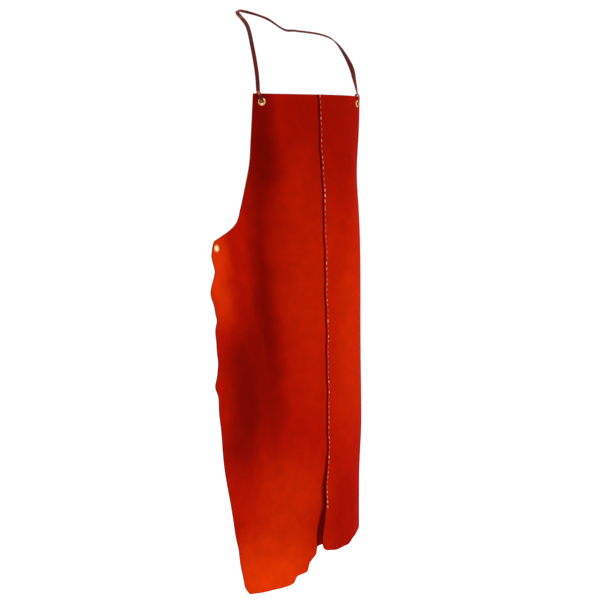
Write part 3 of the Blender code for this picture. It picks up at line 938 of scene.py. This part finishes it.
class APRON_OT_neck_strap(bpy.types.Operator):
    """Make the flat leather lace that goes round the neck"""
    bl_idname = "apron.neck_strap"
    bl_label = "Neck strap"

    def execute(self, context):
        top = Vector((0, BIB_EYELET[1] + LACE_RISE, 0))
        start, end = (lace_frame(sign) @ top + Vector((0, 0, STRAP_LIFT)) for sign in (-1, 1))
        route = [start, start + Vector((0.002, 0.013, 0.040)), start + Vector((0.008, 0.055, 0.098)),
                 start + Vector((0.023, 0.125, 0.147)), start + Vector((0.030, 0.208, 0.185)),
                 Vector((0, 0, 0)), Vector((0.051, -0.013, -0.015)), Vector((0.086, -0.040, -0.042)),
                 Vector((0.110, -0.059, -0.046)), Vector((0.154, -0.110, -0.058)),
                 end + Vector((-0.017, 0.076, 0.119)), end + Vector((-0.005, 0.029, 0.068)),
                 end + Vector((-0.002, 0.010, 0.029)), end]
        path = smooth_path(route, STRAP_STEPS)
        across = []
        for k, point in enumerate(path):
            along = (path[min(k + 1, STRAP_STEPS)] - path[max(k - 1, 0)]).normalized()
            turn = float(bump(k / STRAP_STEPS, STRAP_TURN, 0.09))
            outwards = (point - STRAP_CENTRE).normalized().lerp(Vector((0, -1, 0)), turn)
            across.append(along.cross(outwards))
        width = context.scene.apron_sizes.strap_width
        strap = lace_mesh("neck_lace", path, across, width, STRAP_THICK, finish_material("lace"),
                          belly=lambda f: 1 + 0.35 * float(bump(f, STRAP_TURN, 0.06)))
        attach(strap, "strap")
        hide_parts("neck_strap")
        return {"FINISHED"}


# Each lamp's name, place, power in watts and size
LAMPS = (("key", (2.6, -2.4, 1.0), 60, 1.0), ("fill", (-2.8, -1.6, 0.6), 6, 2.2),
         ("rim", (1.2, 2.4, 1.4), 15, 1.5))


class APRON_OT_stage(bpy.types.Operator):
    """Set up the white floor, the lights and the camera"""
    bl_idname = "apron.stage"
    bl_label = "Stage"

    def execute(self, context):
        scene = context.scene
        scene.view_settings.view_transform = "Standard"
        bm = bmesh.new()
        bmesh.ops.create_grid(bm, x_segments=1, y_segments=1, size=60,
                              matrix=Matrix.Translation((0, 0, CAD_BOX[0][2] - 0.55)))
        floor = link_mesh("floor", bm, [studio_paper()])
        world = bpy.data.worlds.new("white_studio")
        world.use_nodes = True
        world.node_tree.nodes["Background"].inputs["Color"].default_value = linear("FFFFFF")
        world.node_tree.nodes["Background"].inputs["Strength"].default_value = 1.05
        scene.world = world
        aim = Vector((0.0537, -0.211, -0.6692))
        for name, place, power, size in LAMPS:
            lamp = bpy.data.lights.new(name, "AREA")
            lamp.energy = power
            lamp.size = size
            obj = bpy.data.objects.new(name, lamp)
            obj.location = place
            obj.rotation_euler = (aim - Vector(place)).to_track_quat("-Z", "Y").to_euler()
            scene.collection.objects.link(obj)
        camera = bpy.data.cameras.new("camera")
        camera.lens = 57.25
        view = bpy.data.objects.new("camera", camera)
        view.location = (-0.8218, -2.2208, -0.2758)
        view.rotation_euler = (aim - view.location).to_track_quat("-Z", "Y").to_euler()
        scene.collection.objects.link(view)
        scene.camera = view
        return {"FINISHED"}


class APRON_PT_panel(bpy.types.Panel):
    """Lists the apron's pieces"""
    bl_label = "Leather apron"
    bl_idname = "APRON_PT_panel"
    bl_space_type = "VIEW_3D"
    bl_region_type = "UI"
    bl_category = "Apron"

    def draw(self, context):
        for group in (context.scene.apron_sizes, context.scene.apron_colours):
            for name in group.__annotations__:
                self.layout.prop(group, name)
        for operator in OPERATORS:
            self.layout.operator(operator.bl_idname)


OPERATORS = (APRON_OT_stage, APRON_OT_bib, APRON_OT_skirt, APRON_OT_wings, APRON_OT_stitches,
             APRON_OT_eyelets, APRON_OT_lace_ends, APRON_OT_neck_strap)
CLASSES = (ApronSizes, ApronColours) + OPERATORS + (APRON_PT_panel,)


def register():
    for cls in CLASSES:
        bpy.utils.register_class(cls)
    bpy.types.Scene.apron_sizes = bpy.props.PointerProperty(type=ApronSizes)
    bpy.types.Scene.apron_colours = bpy.props.PointerProperty(type=ApronColours)


def unregister():
    del bpy.types.Scene.apron_colours
    del bpy.types.Scene.apron_sizes
    for cls in reversed(CLASSES):
        bpy.utils.unregister_class(cls)


def main():
    register()
    for operator in OPERATORS:
        area, word = operator.bl_idname.split(".")
        getattr(getattr(bpy.ops, area), word)()


if __name__ == "__main__":
    main()
